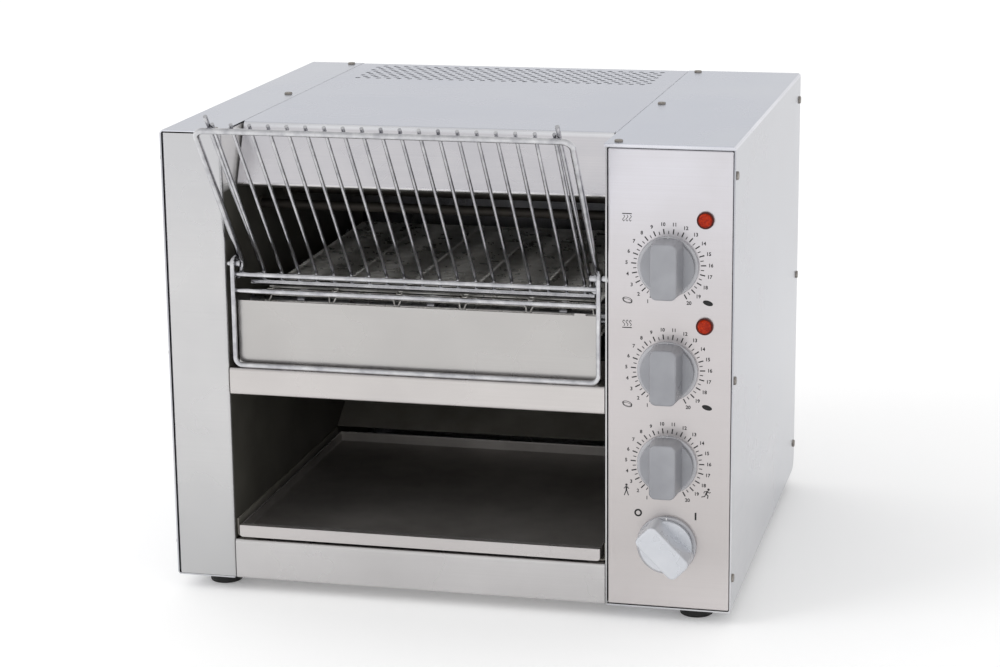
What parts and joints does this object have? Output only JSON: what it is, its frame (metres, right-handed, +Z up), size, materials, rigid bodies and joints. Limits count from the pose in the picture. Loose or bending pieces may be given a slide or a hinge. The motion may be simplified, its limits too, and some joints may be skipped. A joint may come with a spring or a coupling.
{
  "type": "conveyor toaster",
  "caption": "Countertop conveyor toaster: wire loading rack, wire belt between heating elements, return chute to a slide-out tray, and a control panel with knobs and lamps.",
  "frame": {"origin": "on the table under the feet, below the middle of the machine's overall length and width", "axes": "+X to the machine's right as seen from the front, +Y to the back, +Z up"},
  "size_m": [0.4682, 0.4984, 0.414],
  "materials": {
    "stainless": "brushed stainless sheet",
    "chrome_wire": "bright plated wire",
    "belt_wire": "stainless wire",
    "black_rubber": "moulded rubber",
    "grey_plastic": "moulded grey plastic",
    "silver_plastic": "moulded silver-grey plastic",
    "dark_plastic": "moulded dark plastic",
    "red_lens": "clear red lens",
    "ceramic": "glazed ceramic",
    "element_sheath": "heat-darkened steel sheath",
    "machined_steel": "machined steel",
    "reflector": "heat-stained steel sheet",
    "motor_casing": "cast and turned casing",
    "circuit_board": "board and potentiometer",
    "dark_screw": "dark screws"
  },
  "bodies": {
    "cabinet": {"base_pan": "stainless", "belt_links": "belt_wire", "control_panel": "stainless", "cooling_fan_frame": "dark_plastic", "discharge_chute": "stainless", "drive_chain": "machined_steel", "element_bushes": "ceramic", "foot_screws": "dark_screw", "front_panel": "stainless", "gear_motor": "motor_casing", "heat_regulators": "dark_plastic", "knob_bezels": "dark_plastic", "lamp_holders": "dark_plastic", "lamp_lenses": "red_lens", "left_inner_panel": "stainless", "left_side_cover": "stainless", "lower_heat_shield": "reflector", "lower_heating_elements": "element_sheath", "mains_gland": "dark_plastic", "outlet_header": "stainless", "power_switch": "dark_plastic", "rack_pins": "chrome_wire", "rear_panel": "stainless", "right_inner_panel": "stainless", "right_side_cover": "stainless", "rubber_feet": "black_rubber", "shaft_bushes": "machined_steel", "side_screws": "dark_screw", "speed_controller": "circuit_board", "terminal_block": "dark_plastic", "top_cover": "stainless", "top_screws": "dark_screw", "tray_runners": "stainless", "upper_heat_shield": "reflector", "upper_heating_elements": "element_sheath", "wire_belt": "belt_wire"},
    "loading_rack": {"rack_hanger_loop": "chrome_wire", "rack_frame": "chrome_wire", "rack_cross_rods": "chrome_wire", "rack_slope_wires": "chrome_wire", "rack_guide_wires": "chrome_wire"},
    "tray_body": {"collection_tray": "stainless"},
    "top_heat_control": {"top_heat_knob": "grey_plastic", "top_heat_spindle": "machined_steel"},
    "bottom_heat_control": {"bottom_heat_knob": "grey_plastic", "bottom_heat_spindle": "machined_steel"},
    "speed_control": {"speed_knob": "grey_plastic", "speed_spindle": "machined_steel"},
    "power_control": {"power_knob": "silver_plastic", "power_spindle": "machined_steel"},
    "drive_roller": {"drive_shaft": "machined_steel", "drive_wheels": "machined_steel", "drive_sprocket": "machined_steel"},
    "idler_roller": {"idler_shaft": "machined_steel", "idler_wheels": "machined_steel"},
    "motor_output": {"motor_shaft": "machined_steel", "motor_sprocket": "machined_steel"},
    "fan_rotor_body": {"fan_rotor": "dark_plastic"}
  },
  "joints": [
    {"name": "rack_tilt", "type": "hinge", "parent": "cabinet", "child": "loading_rack", "pos_m": [-0.025, -0.15805, 0.2785], "axis": [-1, 0, 0], "range_deg": [0, 38]},
    {"name": "tray_slide", "type": "slide", "parent": "cabinet", "child": "tray_body", "axis": [0, -1, 0], "range_m": [0, 0.25]},
    {"name": "top_heat_turn", "type": "hinge", "parent": "cabinet", "child": "top_heat_control", "pos_m": [0.181, -0.16455, 0.2925], "axis": [0, 1, 0], "range_deg": [-150, 150]},
    {"name": "bottom_heat_turn", "type": "hinge", "parent": "cabinet", "child": "bottom_heat_control", "pos_m": [0.181, -0.16455, 0.2088], "axis": [0, 1, 0], "range_deg": [-150, 150]},
    {"name": "speed_turn", "type": "hinge", "parent": "cabinet", "child": "speed_control", "pos_m": [0.181, -0.16455, 0.1328], "axis": [0, 1, 0], "range_deg": [-150, 150]},
    {"name": "power_turn", "type": "hinge", "parent": "cabinet", "child": "power_control", "pos_m": [0.181, -0.16455, 0.0665], "axis": [0, 1, 0], "range_deg": [0, 90]},
    {"name": "drive_roller_turn", "type": "hinge", "parent": "cabinet", "child": "drive_roller", "pos_m": [0.131, 0.17145, 0.233], "axis": [1, 0, 0], "continuous": true},
    {"name": "idler_roller_turn", "type": "hinge", "parent": "cabinet", "child": "idler_roller", "pos_m": [0.131, -0.10055, 0.233], "axis": [1, 0, 0], "continuous": true},
    {"name": "motor_turn", "type": "hinge", "parent": "cabinet", "child": "motor_output", "pos_m": [0.1445, 0.08545, 0.124], "axis": [1, 0, 0], "continuous": true},
    {"name": "fan_turn", "type": "hinge", "parent": "cabinet", "child": "fan_rotor_body", "pos_m": [0.1815, 0.23545, 0.222], "axis": [0, 1, 0], "continuous": true}
  ],
  "couplings": [
    {"joint": "idler_roller_turn", "follows": "drive_roller_turn", "ratio": 1},
    {"joint": "motor_turn", "follows": "drive_roller_turn", "ratio": 1.3333}
  ]
}
